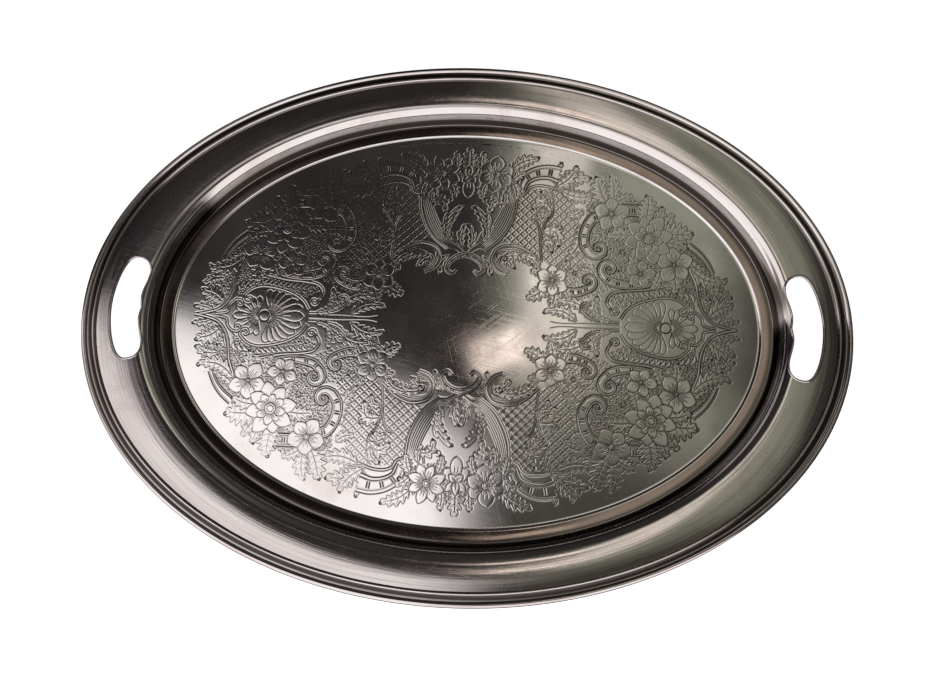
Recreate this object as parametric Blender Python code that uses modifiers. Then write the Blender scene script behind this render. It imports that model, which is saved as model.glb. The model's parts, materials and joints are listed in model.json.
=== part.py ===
"""Oval serving tray with pierced hand-holes: pressed pan, applied rim moulding, edge wire, bound hand-holes.

Metres, +Z up. The origin is the centre of the tray on the surface it stands on.
+X runs along the tray's length, so the two hand-holes lie on the X axis.
"""
import math

import bmesh
import bpy
from mathutils import Vector
from mathutils.geometry import interpolate_bezier

# Driving dimensions
LENGTH = 0.560                  # over the rim
WIDTH = 0.3954                  # over the rim
HEIGHT = 0.026                  # standing surface to the top of the rim
SHEET = 0.0012                  # pan sheet
WELL_LENGTH = 0.4482            # flat well, edge to edge
WELL_WIDTH = 0.3042
FIT_GAP = 0.0003                # clearance between neighbouring pieces
SEGMENTS = 96                   # facets round the oval

# Pan section, measured outward from the well's edge and up from the well's upper face
BEAD_RUN = 0.0008               # little upright bead that frames the well
BEAD_RISE = 0.0007
LEDGE_RUN = 0.0070              # shallow sloping ledge outside that bead
LEDGE_RISE = 0.0013
WALL = (                        # Bezier points of the steep wall and its rounded shoulder
    Vector((0.0077, 0.0016)),
    Vector((0.0080, 0.0150)),
    Vector((0.0102, 0.0202)),
    Vector((0.0185, 0.0210)),
)
WALL_STEPS = 6
FLANGE = (                      # Bezier points of the flange: share of its run, height
    Vector((0.0, 0.0210)),
    Vector((0.20, 0.0215)),
    Vector((0.50, 0.02215)),
    Vector((1.0, 0.0224)),
)
FLANGE_STEPS = 5
SEAT_EDGE = 0.0041              # pan edge, in from the outermost line of the rim

# Rim moulding section, measured in from the outermost line of the rim
RIM_RUN = 0.0104                # width of the moulding
RIM_SKIN = 0.0007               # its wall thickness
ROLL_RADIUS = 0.0023            # outer roll
REED_RADIUS = 0.0011            # thin inner reed
LIP_RUN = 0.0054                # how far the lower lip reaches in
GROOVE_DEPTH = 0.0014           # groove floor, below the top of the roll
REED_ARC = (180, 30, 4)         # start and end in degrees (90 is up, 180 faces the well), steps
ROLL_ARC = (155, -90, 9)
ROLL_INNER_ARC = (-90, 172, 7)
WIRE_RADIUS = 0.00125

# Hand-hole at +X inside its binding: upper half of the outline as Bezier knots,
# each with its place and the handles before and after it
HOLE_KNOTS = (
    ((0.2594, 0.0000), (0.0, 0.0), (0.0, 0.0150)),                # outer edge, on the long axis
    ((0.2455, 0.0375), (0.0080, 0.0), (-0.0062, 0.0)),            # tip of the round end
    ((0.2356, 0.0285), (0.0, 0.0052), (0.0, -0.0065)),            # inner side of the round end
    ((0.2398, 0.0075), (0.0, 0.0068), (0.0, -0.0030)),            # top of a shallow lobe
    ((0.2390, 0.0000), (0.0002, 0.0022), (0.0, 0.0)),             # cusp between the two lobes
)
HOLE_STEPS = 6                  # straight runs in each Bezier stretch
BINDING_RADIUS = 0.0009
CUT_HEIGHT = 0.060

SILVER = (0.36, 0.35, 0.34, 1.0)
SILVER_BRIGHT = (0.52, 0.50, 0.48, 1.0)
WIRE_METAL = (0.55, 0.36, 0.20, 1.0)


def clear_scene():
    for obj in list(bpy.data.objects):
        bpy.data.objects.remove(obj, do_unlink=True)


def new_collection(name):
    collection = bpy.data.collections.new(name)
    bpy.context.scene.collection.children.link(collection)
    return collection


def metal(name, colour, roughness):
    material = bpy.data.materials.new(name)
    material.use_nodes = True
    shader = material.node_tree.nodes["Principled BSDF"]
    shader.inputs["Base Color"].default_value = colour
    shader.inputs["Metallic"].default_value = 1.0
    shader.inputs["Roughness"].default_value = roughness
    material.diffuse_color = colour
    return material


def add_object(name, data, collection, material=None):
    obj = bpy.data.objects.new(name, data)
    collection.objects.link(obj)
    if material:
        data.materials.append(material)
    return obj


def smooth(mesh, sharp_degrees=32.0):
    mesh.shade_smooth()
    mesh.set_sharp_from_angle(angle=math.radians(sharp_degrees))


def bezier(points, steps):
    """Points along one Bezier stretch, its first point left out."""
    flat = interpolate_bezier(*[Vector((p.x, p.y, 0.0)) for p in points], steps + 1)
    return [Vector((p.x, p.y)) for p in flat[1:]]


def oval(half_length, half_width, height):
    """One ring of points round the tray."""
    turns = [2.0 * math.pi * i / SEGMENTS for i in range(SEGMENTS)]
    return [(half_length * math.cos(t), half_width * math.sin(t), height) for t in turns]


def well_ring(run, rise):
    """A ring at one distance outside the well's edge, all the way round."""
    return (WELL_LENGTH / 2 + run, WELL_WIDTH / 2 + run, SHEET + rise)


def rim_ring(inset, height):
    """A ring at one distance inside the outermost line of the rim."""
    return (LENGTH / 2 - inset, WIDTH / 2 - inset, height)


def flange_ring(share, rise):
    """A ring on the flange, which is wider at the ends than along the sides."""
    inner = well_ring(WALL[-1].x, rise)
    outer = rim_ring(RIM_RUN, 0.0)
    return (
        inner[0] + share * (outer[0] - inner[0]),
        inner[1] + share * (outer[1] - inner[1]),
        SHEET + rise,
    )


def pan_stations():
    """Upper face of the pan, from the well's edge out to the edge under the rim moulding."""
    stations = [
        well_ring(0.0, 0.0),
        well_ring(BEAD_RUN, BEAD_RISE),
        well_ring(LEDGE_RUN, LEDGE_RISE),
        well_ring(WALL[0].x, WALL[0].y),
    ]
    stations += [well_ring(p.x, p.y) for p in bezier(WALL, WALL_STEPS)]
    stations += [flange_ring(p.x, p.y) for p in bezier(FLANGE, FLANGE_STEPS)]
    stations.append(rim_ring(SEAT_EDGE, SHEET + FLANGE[-1].y))
    return stations


def surface_height(x, y):
    """Height of the pan's upper face at a point of the wall or the flange."""
    stations = pan_stations()
    reach = [math.hypot(x / s[0], y / s[1]) for s in stations]
    for inner, outer, near, far in zip(stations, stations[1:], reach, reach[1:]):
        if near >= 1.0 >= far:
            share = (near - 1.0) / (near - far)
            return inner[2] + share * (outer[2] - inner[2])
    return stations[0][2]


def loft(name, rings, closed_section):
    """Quads between rings of equal count; a closed section joins its last ring to its first."""
    mesh = bpy.data.meshes.new(name)
    bm = bmesh.new()
    verts = [[bm.verts.new(point) for point in ring] for ring in rings]
    pairs = list(zip(verts, verts[1:]))
    if closed_section:
        pairs.append((verts[-1], verts[0]))
    else:
        bm.faces.new(verts[0])
    for inner, outer in pairs:
        for i in range(SEGMENTS):
            j = (i + 1) % SEGMENTS
            bm.faces.new((inner[i], outer[i], outer[j], inner[j]))
    if closed_section:
        bmesh.ops.recalc_face_normals(bm, faces=bm.faces)
    bm.to_mesh(mesh)
    bm.free()
    return mesh


def arc(centre, radius, start, end, steps):
    """Points of an arc in the section plane: x is the inset from the rim, angles in degrees."""
    points = []
    for i in range(steps + 1):
        angle = math.radians(start + (end - start) * i / steps)
        points.append((centre[0] - radius * math.cos(angle), centre[1] + radius * math.sin(angle)))
    return points


def rim_section():
    """Closed outline of the rolled moulding, which grips the edge of the pan and holds the wire."""
    seat_top = SHEET + FLANGE[-1].y
    under = seat_top + FIT_GAP
    roll = (ROLL_RADIUS, HEIGHT - ROLL_RADIUS)
    reed = (RIM_RUN - REED_RADIUS, under + RIM_SKIN)
    lip_top = HEIGHT - 2 * ROLL_RADIUS + RIM_SKIN
    groove_mid = (roll[0] + reed[0]) / 2
    points = [(RIM_RUN, under)]
    points += arc(reed, REED_RADIUS, *REED_ARC)
    points.append((groove_mid, HEIGHT - GROOVE_DEPTH))
    points += arc(roll, ROLL_RADIUS, *ROLL_ARC)
    points += [(LIP_RUN, roll[1] - ROLL_RADIUS), (LIP_RUN, lip_top)]
    points += arc(roll, ROLL_RADIUS - RIM_SKIN, *ROLL_INNER_ARC)
    return points


def hole_points(grow):
    """The hand-hole's outline at +X, anticlockwise, grown outward by the given distance."""
    knots = [[Vector(value) for value in knot] for knot in HOLE_KNOTS]
    upper = [knots[0][0]]
    for (start, _, leave), (end, arrive, _) in zip(knots, knots[1:]):
        upper += bezier((start, start + leave, end + arrive, end), HOLE_STEPS)
    lower = [Vector((p.x, -p.y)) for p in reversed(upper[1:-1])]
    loop = upper + lower
    grown = []
    for i, point in enumerate(loop):
        along = loop[(i + 1) % len(loop)] - loop[i - 1]
        grown.append(point + grow * Vector((along.y, -along.x)).normalized())
    return grown


def poly_spline(curve, points):
    spline = curve.splines.new("POLY")
    spline.points.add(len(points) - 1)
    for target, point in zip(spline.points, points):
        target.co = (*point, 1.0)
    spline.use_cyclic_u = True


def wire(name, points, radius, resolution, collection, material):
    """A closed round wire through the points."""
    curve = bpy.data.curves.new(name, "CURVE")
    curve.dimensions = "3D"
    curve.bevel_depth = radius
    curve.bevel_resolution = resolution
    poly_spline(curve, points)
    return add_object(name, curve, collection, material)


def hole_cutter(name, side, collection):
    """A straight plug of the hand-hole's shape, large enough to leave room for the binding."""
    curve = bpy.data.curves.new(name, "CURVE")
    curve.dimensions = "2D"
    curve.fill_mode = "BOTH"
    curve.extrude = CUT_HEIGHT / 2
    poly_spline(curve, [(side * p.x, p.y, 0.0) for p in hole_points(2 * BINDING_RADIUS + FIT_GAP)])
    flat = add_object(name, curve, collection)
    graph = bpy.context.evaluated_depsgraph_get()
    mesh = bpy.data.meshes.new_from_object(flat.evaluated_get(graph))
    bpy.data.objects.remove(flat, do_unlink=True)
    bm = bmesh.new()
    bm.from_mesh(mesh)
    bmesh.ops.remove_doubles(bm, verts=bm.verts, dist=0.00001)
    bmesh.ops.recalc_face_normals(bm, faces=bm.faces)
    bm.to_mesh(mesh)
    bm.free()
    cutter = add_object(name, mesh, collection)
    cutter.hide_render = True
    cutter.display_type = "WIRE"
    return cutter


def build_pan(collection, cutters):
    rings = [oval(*station) for station in pan_stations()]
    mesh = loft("tray_pan", rings, closed_section=False)
    smooth(mesh)
    pan = add_object("tray_pan", mesh, collection, metal("tarnished_silver_plate", SILVER, 0.24))
    shell = pan.modifiers.new("sheet", "SOLIDIFY")
    shell.thickness = SHEET
    shell.offset = -1.0
    shell.use_even_offset = True
    for name, side in (("hand_hole_cut_left", -1), ("hand_hole_cut_right", 1)):
        cut = pan.modifiers.new(name, "BOOLEAN")
        cut.operation = "DIFFERENCE"
        cut.solver = "EXACT"
        cut.object = hole_cutter(name, side, cutters)
    return pan


def build_rim(collection):
    rings = [oval(*rim_ring(inset, height)) for inset, height in rim_section()]
    mesh = loft("rim_moulding", rings, closed_section=True)
    smooth(mesh)
    return add_object("rim_moulding", mesh, collection, metal("polished_silver_plate", SILVER_BRIGHT, 0.18))


def build_edge_wire(collection):
    ring = oval(*rim_ring(ROLL_RADIUS, HEIGHT - ROLL_RADIUS))
    return wire("edge_wire", ring, WIRE_RADIUS, 1, collection, metal("drawn_brass_wire", WIRE_METAL, 0.35))


def build_bindings(collection):
    material = metal("silver_plated_wire", SILVER_BRIGHT, 0.20)
    for name, side in (("hand_hole_binding_left", -1), ("hand_hole_binding_right", 1)):
        points = []
        for p in hole_points(BINDING_RADIUS):
            middle = surface_height(p.x, p.y) - SHEET / 2
            points.append((side * p.x, p.y, middle))
        wire(name, points, BINDING_RADIUS, 2, collection, material)


def main():
    clear_scene()
    parts = new_collection("serving_tray")
    cutters = new_collection("cutters")
    build_pan(parts, cutters)
    build_rim(parts)
    build_edge_wire(parts)
    build_bindings(parts)


main()
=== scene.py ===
"""Looks of the oval serving tray: silver plate with a chased well, a reeded rim and bound hand-holes."""
import json
import math

import bmesh
import bpy
import numpy as np
from mathutils import Euler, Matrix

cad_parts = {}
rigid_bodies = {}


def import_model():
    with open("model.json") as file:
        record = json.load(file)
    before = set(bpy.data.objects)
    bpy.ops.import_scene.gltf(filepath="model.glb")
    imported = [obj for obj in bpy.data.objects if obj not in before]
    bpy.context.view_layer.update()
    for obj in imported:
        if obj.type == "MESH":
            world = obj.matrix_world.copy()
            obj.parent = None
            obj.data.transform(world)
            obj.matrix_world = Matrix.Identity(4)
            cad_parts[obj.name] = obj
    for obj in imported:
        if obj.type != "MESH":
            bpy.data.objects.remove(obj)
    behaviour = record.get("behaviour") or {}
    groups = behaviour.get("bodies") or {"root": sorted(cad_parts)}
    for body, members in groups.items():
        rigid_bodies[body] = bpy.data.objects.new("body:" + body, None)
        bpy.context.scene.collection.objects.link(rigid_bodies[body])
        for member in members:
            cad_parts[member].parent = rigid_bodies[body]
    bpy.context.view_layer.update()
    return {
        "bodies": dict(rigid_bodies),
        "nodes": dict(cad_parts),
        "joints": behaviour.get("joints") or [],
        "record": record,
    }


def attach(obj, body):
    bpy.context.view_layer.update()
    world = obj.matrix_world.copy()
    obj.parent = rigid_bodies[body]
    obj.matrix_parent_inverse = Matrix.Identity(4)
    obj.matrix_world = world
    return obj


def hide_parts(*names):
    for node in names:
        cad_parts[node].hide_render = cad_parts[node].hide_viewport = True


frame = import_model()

# Sizes shared with the CAD model, in metres
HALF_LENGTH = 0.280
HALF_WIDTH = 0.1977
HEIGHT = 0.026
SHEET = 0.0012
WELL_HALF_LENGTH = 0.2241
WELL_HALF_WIDTH = 0.1521
BEAD_RUN, BEAD_RISE = 0.0030, 0.0007     # the well's floor turns up softly to a crest
LEDGE_RUN, LEDGE_RISE = 0.0070, 0.0017
WALL = ((0.0077, 0.0016), (0.0080, 0.0150), (0.0102, 0.0198), (0.0185, 0.0206))
FLANGE = ((0.0, 0.0206), (0.20, 0.02125), (0.50, 0.0221), (1.0, 0.0224))
WALL_FOOT = ((0.0075, 0.00175), (0.00785, 0.0019))      # handles of the small fillet at its foot
WALL_START = (0.0079, 0.0028)
RIM_RUN = 0.0104
RIM_SKIN = 0.0007
ROLL_RADIUS = 0.0023
REED_RADIUS = 0.0011
GROOVE_DEPTH = 0.0014
GROOVE_EASE = 0.0002                     # extra depth of the handles that shape its floor
GROOVE_HANDLES = (0.0010, 0.0012)        # and their reach, from the reed and from the roll
GROOVE_SHADE_INSETS = (0.0044, 0.0058, 0.0078, 0.0088)      # insets where the painted shade of the groove starts and ends
LIP_RUN = 0.0054
SEAT_EDGE = 0.0041
# Outline of a hand-hole's upper half: point, then where the curve arrives from and leaves to.
HOLE_KNOTS = (
    ((0.2594, 0.0000), (0.0, 0.0), (0.0, 0.0150)),
    ((0.2455, 0.0375), (0.0080, 0.0), (-0.0062, 0.0)),
    ((0.2356, 0.0285), (0.0, 0.0052), (0.0, -0.0065)),
    ((0.2398, 0.0075), (0.0, 0.0068), (0.0, -0.0030)),
    ((0.2390, 0.0000), (0.0002, 0.0022), (0.0, 0.0)),
)
HOLE_STEPS = 24                 # points along each stretch of that outline
BINDING_RADIUS = 0.0009
CUT_CLEARANCE = 0.00005         # room between the binding and the cut sheet
CUT_HEIGHT = 0.05
FIT_GAP = 0.0003

# Fineness of the visual meshes
SEGMENTS = 576                  # facets round the oval
PITCH = 0.0004                  # grid of the chased field
FIELD_SPLIT = 0.42              # each quadrant is two pieces, parted at this share of its length
FIELD_SHARE = 0.95              # the chased grid reaches this share of the well
FLAT_EDGE = 0.0005              # flat ring just inside the well's edge
BEAD_CREST = -0.0011            # the crest stands this far inside the well's drawn edge
CREST_RUN, CREST_RISE = 0.0003, 0.00003     # its rounded top
FIELD_FADE = 60                 # the relief dies away over the last 1/60 of its reach
SHARP_PAN, SHARP_RIM = 40, 50   # edges steeper than this stay sharp, in degrees

# ---------------------------------------------------------------- shapes


def bezier(knots, steps):
    """Points along a cubic Bezier stretch, as rows of x, y."""
    t = np.linspace(0.0, 1.0, steps + 1)[:, None]
    a, b, c, d = (np.array(knot) for knot in knots)
    return (1 - t) ** 3 * a + 3 * t * (1 - t) ** 2 * b + 3 * t * t * (1 - t) * c + t ** 3 * d


def pan_stations():
    """Rings of the pan's upper face from the well's edge outward: half length, half width, height."""
    rise = np.linspace(0.0, 1.0, 15)
    bead = np.column_stack((BEAD_CREST - BEAD_RUN * (1 - rise), BEAD_RISE * rise ** 3))
    bead = np.vstack((bead, [(BEAD_CREST + CREST_RUN, BEAD_RISE + CREST_RISE)]))
    share = np.linspace(0.0, 1.0, 11)[1:]
    ledge = np.column_stack((
        bead[-1][0] + share * (LEDGE_RUN - bead[-1][0]),
        bead[-1][1] + (1 - (1 - share) ** 1.3) * (LEDGE_RISE - bead[-1][1]),
    ))
    foot = bezier(((LEDGE_RUN, LEDGE_RISE), WALL_FOOT[0], WALL_FOOT[1], WALL_START), 6)[1:]
    wall = bezier((WALL_START, WALL[1], WALL[2], WALL[3]), 28)[1:]
    runs = np.vstack(([(bead[0][0] - FLAT_EDGE, 0.0)], bead, ledge, foot, wall))
    stations = [(WELL_HALF_LENGTH + d, WELL_HALF_WIDTH + d, SHEET + z) for d, z in runs]
    inner = np.array((WELL_HALF_LENGTH, WELL_HALF_WIDTH)) + WALL[3][0]
    outer = np.array((HALF_LENGTH, HALF_WIDTH)) - RIM_RUN
    for share, z in bezier(FLANGE, 20)[1:]:
        stations.append((*(inner + share * (outer - inner)), SHEET + z))
    stations.append((HALF_LENGTH - SEAT_EDGE, HALF_WIDTH - SEAT_EDGE, SHEET + FLANGE[3][1]))
    return np.array(stations)


def surface_height(x, y):
    """Height of the pan's upper face at a point of the wall or the flange."""
    stations = pan_stations()
    reach = np.hypot(x / stations[:, 0], y / stations[:, 1])
    return float(np.interp(1.0, reach[::-1], stations[::-1, 2]))


def oval_rings(stations):
    turns = np.arange(SEGMENTS) * (2 * math.pi / SEGMENTS)
    x = np.outer(stations[:, 0], np.cos(turns))
    y = np.outer(stations[:, 1], np.sin(turns))
    z = np.repeat(stations[:, 2:3], SEGMENTS, axis=1)
    return np.stack((x, y, z), axis=-1).reshape(-1, 3)


def ring_quads(rings, closed):
    """Quads between neighbouring rings; a closed section also joins the last ring to the first."""
    faces = []
    last = rings if closed else rings - 1
    for r in range(last):
        a, b = r * SEGMENTS, (r + 1) % rings * SEGMENTS
        for i in range(SEGMENTS):
            j = (i + 1) % SEGMENTS
            faces.append((a + i, b + i, b + j, a + j))
    return faces


def link(obj):
    bpy.context.scene.collection.objects.link(obj)
    return obj


def evaluated_mesh(obj):
    """A mesh of its own from an object with its modifiers or its bevel applied."""
    graph = bpy.context.evaluated_depsgraph_get()
    return bpy.data.meshes.new_from_object(obj.evaluated_get(graph))


def set_attribute(mesh, name, values):
    """Writes one number for each vertex."""
    mesh.attributes.new(name, "FLOAT", "POINT").data.foreach_set("value", values)


def add_piece(name, mesh, node, material):
    """Links a finished mesh into the scene as a piece that stands for a CAD node."""
    obj = link(bpy.data.objects.new(name, mesh))
    mesh.materials.clear()
    mesh.materials.append(material)
    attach(obj, "root")
    if node:
        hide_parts(node)
    return obj


def smooth(mesh, sharp_degrees):
    mesh.shade_smooth()
    mesh.set_sharp_from_angle(angle=math.radians(sharp_degrees))


def arc(centre, radius, start, end, steps):
    """Arc in the rim's section: x is the inset from the outermost line, angles in degrees."""
    angles = np.radians(np.linspace(start, end, steps + 1))
    return np.column_stack((centre[0] - radius * np.cos(angles), centre[1] + radius * np.sin(angles)))


def rim_section():
    """Closed outline of the rim moulding: reed, hollow groove, roll and turned-under lip."""
    under = SHEET + FLANGE[3][1] + FIT_GAP
    roll = (ROLL_RADIUS, HEIGHT - ROLL_RADIUS)
    reed = (RIM_RUN - REED_RADIUS, under + RIM_SKIN)
    lip_top = roll[1] - ROLL_RADIUS + RIM_SKIN
    reed_arc = arc(reed, REED_RADIUS, 180, 25, 14)
    roll_arc = arc(roll, ROLL_RADIUS, 158, -90, 30)
    start, end = reed_arc[-1], roll_arc[0]
    floor_z = HEIGHT - GROOVE_DEPTH - GROOVE_EASE
    near, far = start[0] - GROOVE_HANDLES[0], end[0] + GROOVE_HANDLES[1]
    groove = bezier((start, (near, floor_z), (far, floor_z), end), 12)[1:-1]
    return np.vstack((
        [(RIM_RUN, under)],
        reed_arc,
        groove,
        roll_arc,
        [(LIP_RUN, roll[1] - ROLL_RADIUS), (LIP_RUN, lip_top)],
        arc(roll, ROLL_RADIUS - RIM_SKIN, -90, 172, 16),
    ))


def hole_points(grow, steps):
    """The hand-hole's outline at +X, anticlockwise, grown outward by a distance."""
    knots = np.array(HOLE_KNOTS)
    upper = [knots[0][0]]
    for (start, _, leave), (end, arrive, _) in zip(knots, knots[1:]):
        upper += list(bezier((start, start + leave, end + arrive, end), steps)[1:])
    upper = np.array(upper)
    loop = np.vstack((upper, upper[-2:0:-1] * (1, -1)))
    along = np.roll(loop, -1, axis=0) - np.roll(loop, 1, axis=0)
    out = np.column_stack((along[:, 1], -along[:, 0])) / np.linalg.norm(along, axis=1)[:, None]
    return loop + grow * out


def hole_cutter(side):
    """A straight plug of the hand-hole's shape, with room for the binding."""
    loop = hole_points(2 * BINDING_RADIUS + CUT_CLEARANCE, HOLE_STEPS) * (side, 1)
    bm = bmesh.new()
    base = bm.faces.new([bm.verts.new((x, y, 0.0)) for x, y in loop])
    raised = bmesh.ops.extrude_face_region(bm, geom=[base])
    tops = [v for v in raised["geom"] if isinstance(v, bmesh.types.BMVert)]
    bmesh.ops.translate(bm, verts=tops, vec=(0, 0, CUT_HEIGHT))
    bmesh.ops.recalc_face_normals(bm, faces=bm.faces)
    mesh = bpy.data.meshes.new("hand_hole_cut")
    bm.to_mesh(mesh)
    bm.free()
    return link(bpy.data.objects.new("hand_hole_cut", mesh))


def field_cells():
    """Which cells of the chased grid, in the first quadrant, lie inside its oval."""
    nx = int(WELL_HALF_LENGTH * FIELD_SHARE / PITCH)
    ny = int(WELL_HALF_WIDTH * FIELD_SHARE / PITCH)
    x = (np.arange(nx) + 1) * PITCH / (WELL_HALF_LENGTH * FIELD_SHARE)
    y = (np.arange(ny) + 1) * PITCH / (WELL_HALF_WIDTH * FIELD_SHARE)
    return y[:, None] ** 2 + x[None, :] ** 2 < 1.0


def used_vertices(cells):
    """The corners of a set of grid cells."""
    ny, nx = cells.shape
    used = np.zeros((ny + 1, nx + 1), bool)
    for dy in (0, 1):
        for dx in (0, 1):
            used[dy:ny + dy, dx:nx + dx] |= cells
    return used


def field_border():
    """The stepped edge of the chased grid in the first quadrant, from the X axis to the Y axis."""
    reach = field_cells().sum(axis=1)
    points = []
    for row, count in enumerate(reach):
        if row == 0:
            points.append((count, 0))
        elif count != reach[row - 1]:
            for column in range(reach[row - 1] - 1, count - 1, -1):
                points.append((column, row))
        points.append((count, row + 1))
    for column in range(reach[-1] - 1, -1, -1):
        points.append((column, len(reach)))
    return np.array(points) * PITCH


def pan_mesh():
    """The pan's upper face: rings from the well's edge outward, and a flat web in to the chased grid."""
    stations = pan_stations()
    quarter = field_border()
    border = np.vstack((quarter, (quarter * (-1, 1))[::-1][1:], (quarter * (-1, -1))[1:],
                        (quarter * (1, -1))[::-1][1:-1]))
    bm = bmesh.new()
    made = [bm.verts.new(v) for v in oval_rings(stations)]
    for face in ring_quads(len(stations), closed=False):
        bm.faces.new([made[i] for i in face])
    rim_edges = [bm.edges.get((made[i], made[(i + 1) % SEGMENTS])) for i in range(SEGMENTS)]
    inner = [bm.verts.new((x, y, SHEET)) for x, y in border]
    inner_edges = [bm.edges.new((inner[i - 1], inner[i])) for i in range(len(inner))]
    bmesh.ops.triangle_fill(bm, edges=rim_edges + inner_edges, normal=(0, 0, 1))
    bmesh.ops.recalc_face_normals(bm, faces=bm.faces)
    mesh = bpy.data.meshes.new("tray_pan_sheet")
    bm.to_mesh(mesh)
    bm.free()
    mesh.shade_smooth()
    return mesh


def build_pan(material):
    pan = add_piece("pan_flange", pan_mesh(), "tray_pan", material)
    shell = pan.modifiers.new("sheet", "SOLIDIFY")
    shell.thickness = SHEET
    shell.offset = -1.0
    shell.use_even_offset = True
    cutters = [hole_cutter(side) for side in (-1, 1)]
    for cutter in cutters:
        cut = pan.modifiers.new("hand_hole", "BOOLEAN")
        cut.operation = "DIFFERENCE"
        cut.solver = "EXACT"
        cut.object = cutter
    mesh = evaluated_mesh(pan)
    pan.modifiers.clear()
    pan.data = mesh
    smooth(mesh, SHARP_PAN)
    mark_underside(mesh)
    for cutter in cutters:
        bpy.data.objects.remove(cutter, do_unlink=True)


def mark_underside(mesh):
    """Marks the pan's lower side and the outside of its wall, which nobody polishes."""
    count = len(mesh.vertices)
    place, normal = np.empty(3 * count), np.empty(3 * count)
    mesh.vertices.foreach_get("co", place)
    mesh.vertices.foreach_get("normal", normal)
    place, normal = place.reshape(-1, 3), normal.reshape(-1, 3)
    inward = -place[:, :2] / (np.linalg.norm(place[:, :2], axis=1, keepdims=True) + 1e-9)
    facing = (normal[:, :2] * inward).sum(axis=1) + normal[:, 2]
    set_attribute(mesh, "under", np.clip(-2.0 * facing, 0.0, 1.0))


def build_rim(material):
    section = rim_section()
    stations = np.column_stack((HALF_LENGTH - section[:, 0], HALF_WIDTH - section[:, 0], section[:, 1]))
    mesh = bpy.data.meshes.new("rim_border")
    mesh.from_pydata(oval_rings(stations), [], ring_quads(len(stations), closed=True))
    # painted shade in the groove, carried in the same attribute as the chased field's patina
    patina_and_groove_shade = np.interp(section[:, 0], GROOVE_SHADE_INSETS, (0.0, 1.33, 1.33, 0.0))
    set_attribute(mesh, "patina_and_groove_shade", np.repeat(patina_and_groove_shade, SEGMENTS))
    bm = bmesh.new()
    bm.from_mesh(mesh)
    bmesh.ops.recalc_face_normals(bm, faces=bm.faces)
    bm.to_mesh(mesh)
    bm.free()
    smooth(mesh, SHARP_RIM)
    add_piece("rim_border", mesh, "rim_moulding", material)


def build_binding(name, side, material):
    """Round wire laid in the edge of one hand-hole."""
    loop = hole_points(BINDING_RADIUS, HOLE_STEPS)
    points = [(side * x, y, surface_height(x, y) - SHEET / 2) for x, y in loop]
    curve = bpy.data.curves.new(name, "CURVE")
    curve.dimensions = "3D"
    curve.bevel_depth = BINDING_RADIUS
    curve.bevel_resolution = 6
    spline = curve.splines.new("POLY")
    spline.points.add(len(points) - 1)
    for target, point in zip(spline.points, points):
        target.co = (*point, 1.0)
    spline.use_cyclic_u = True
    rod = link(bpy.data.objects.new(name, curve))
    mesh = evaluated_mesh(rod)
    bpy.data.objects.remove(rod, do_unlink=True)
    mesh.shade_smooth()
    node = "hand_hole_binding_" + ("left" if side < 0 else "right")
    add_piece(name, mesh, node, material)


def outline_loop(quads):
    """The vertices round the outside of a patch of quads, in the direction of its faces."""
    start, end = quads.ravel(), np.roll(quads, -1, axis=1).ravel()
    span = quads.max() + 1
    open_edge = ~np.isin(start * span + end, end * span + start)
    following = dict(zip(start[open_edge].tolist(), end[open_edge].tolist()))
    first = next(iter(following))
    loop = [first]
    while following[loop[-1]] != first:
        loop.append(following[loop[-1]])
    return np.array(loop)


def build_field(name, sx, sy, columns, relief, fade, material):
    """A patch of the chased field: relief above, flat below, closed round its edge."""
    inside = field_cells()
    inside[:, :columns[0]] = inside[:, columns[1]:] = False
    ny, nx = inside.shape
    heights = relief.heights() * fade
    used = used_vertices(inside)
    index = -np.ones((ny + 1, nx + 1), int)
    index[used] = np.arange(used.sum())
    rows, cols = np.nonzero(used)
    top = np.column_stack((sx * cols * PITCH, sy * rows * PITCH, SHEET + heights[used]))
    r, c = np.nonzero(inside)
    quads = np.column_stack((index[r, c], index[r, c + 1], index[r + 1, c + 1], index[r + 1, c]))
    if sx * sy < 0:
        quads = quads[:, ::-1]
    ring = outline_loop(quads)
    bottom = top[ring] * (1, 1, 0)
    low = len(top) + np.arange(len(ring))
    sides = np.column_stack((np.roll(ring, -1), ring, low, np.roll(low, -1)))
    mesh = bpy.data.meshes.new(name)
    faces = quads.tolist() + sides.tolist() + [low[::-1].tolist()]
    mesh.from_pydata(np.vstack((top, bottom)), [], faces)
    set_field_normals(mesh, heights, used, sx, sy, len(quads))
    for label, values in (("patina_and_groove_shade", relief.cut / DEPTH), ("dull", relief.dull)):
        set_attribute(mesh, label, np.concatenate(((values * fade)[used], np.zeros(len(ring)))))
    add_piece(name, mesh, None, material)


def build_chasing(material):
    """The chased field, two patches to a quadrant; the flowers beside the axis differ left and right."""
    ny, nx = field_cells().shape
    x = np.arange(nx + 1) * PITCH / (WELL_HALF_LENGTH * FIELD_SHARE)
    y = np.arange(ny + 1)[:, None] * PITCH / (WELL_HALF_WIDTH * FIELD_SHARE)
    fade = np.clip((1.0 - np.hypot(x, y)) * FIELD_FADE - 0.5, 0.0, 1.0)
    part = int(nx * FIELD_SPLIT)
    for sx, side, petals in ((-1, "left", 8), (1, "right", 6)):
        relief = chase_quadrant(nx + 1, ny + 1, petals)
        for sy, place in ((1, "back"), (-1, "front")):
            for columns, patch in (((0, part), "inner"), ((part, nx), "outer")):
                name = "_".join(("well_chasing", place, side, patch))
                build_field(name, sx, sy, columns, relief, fade, material)


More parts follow.
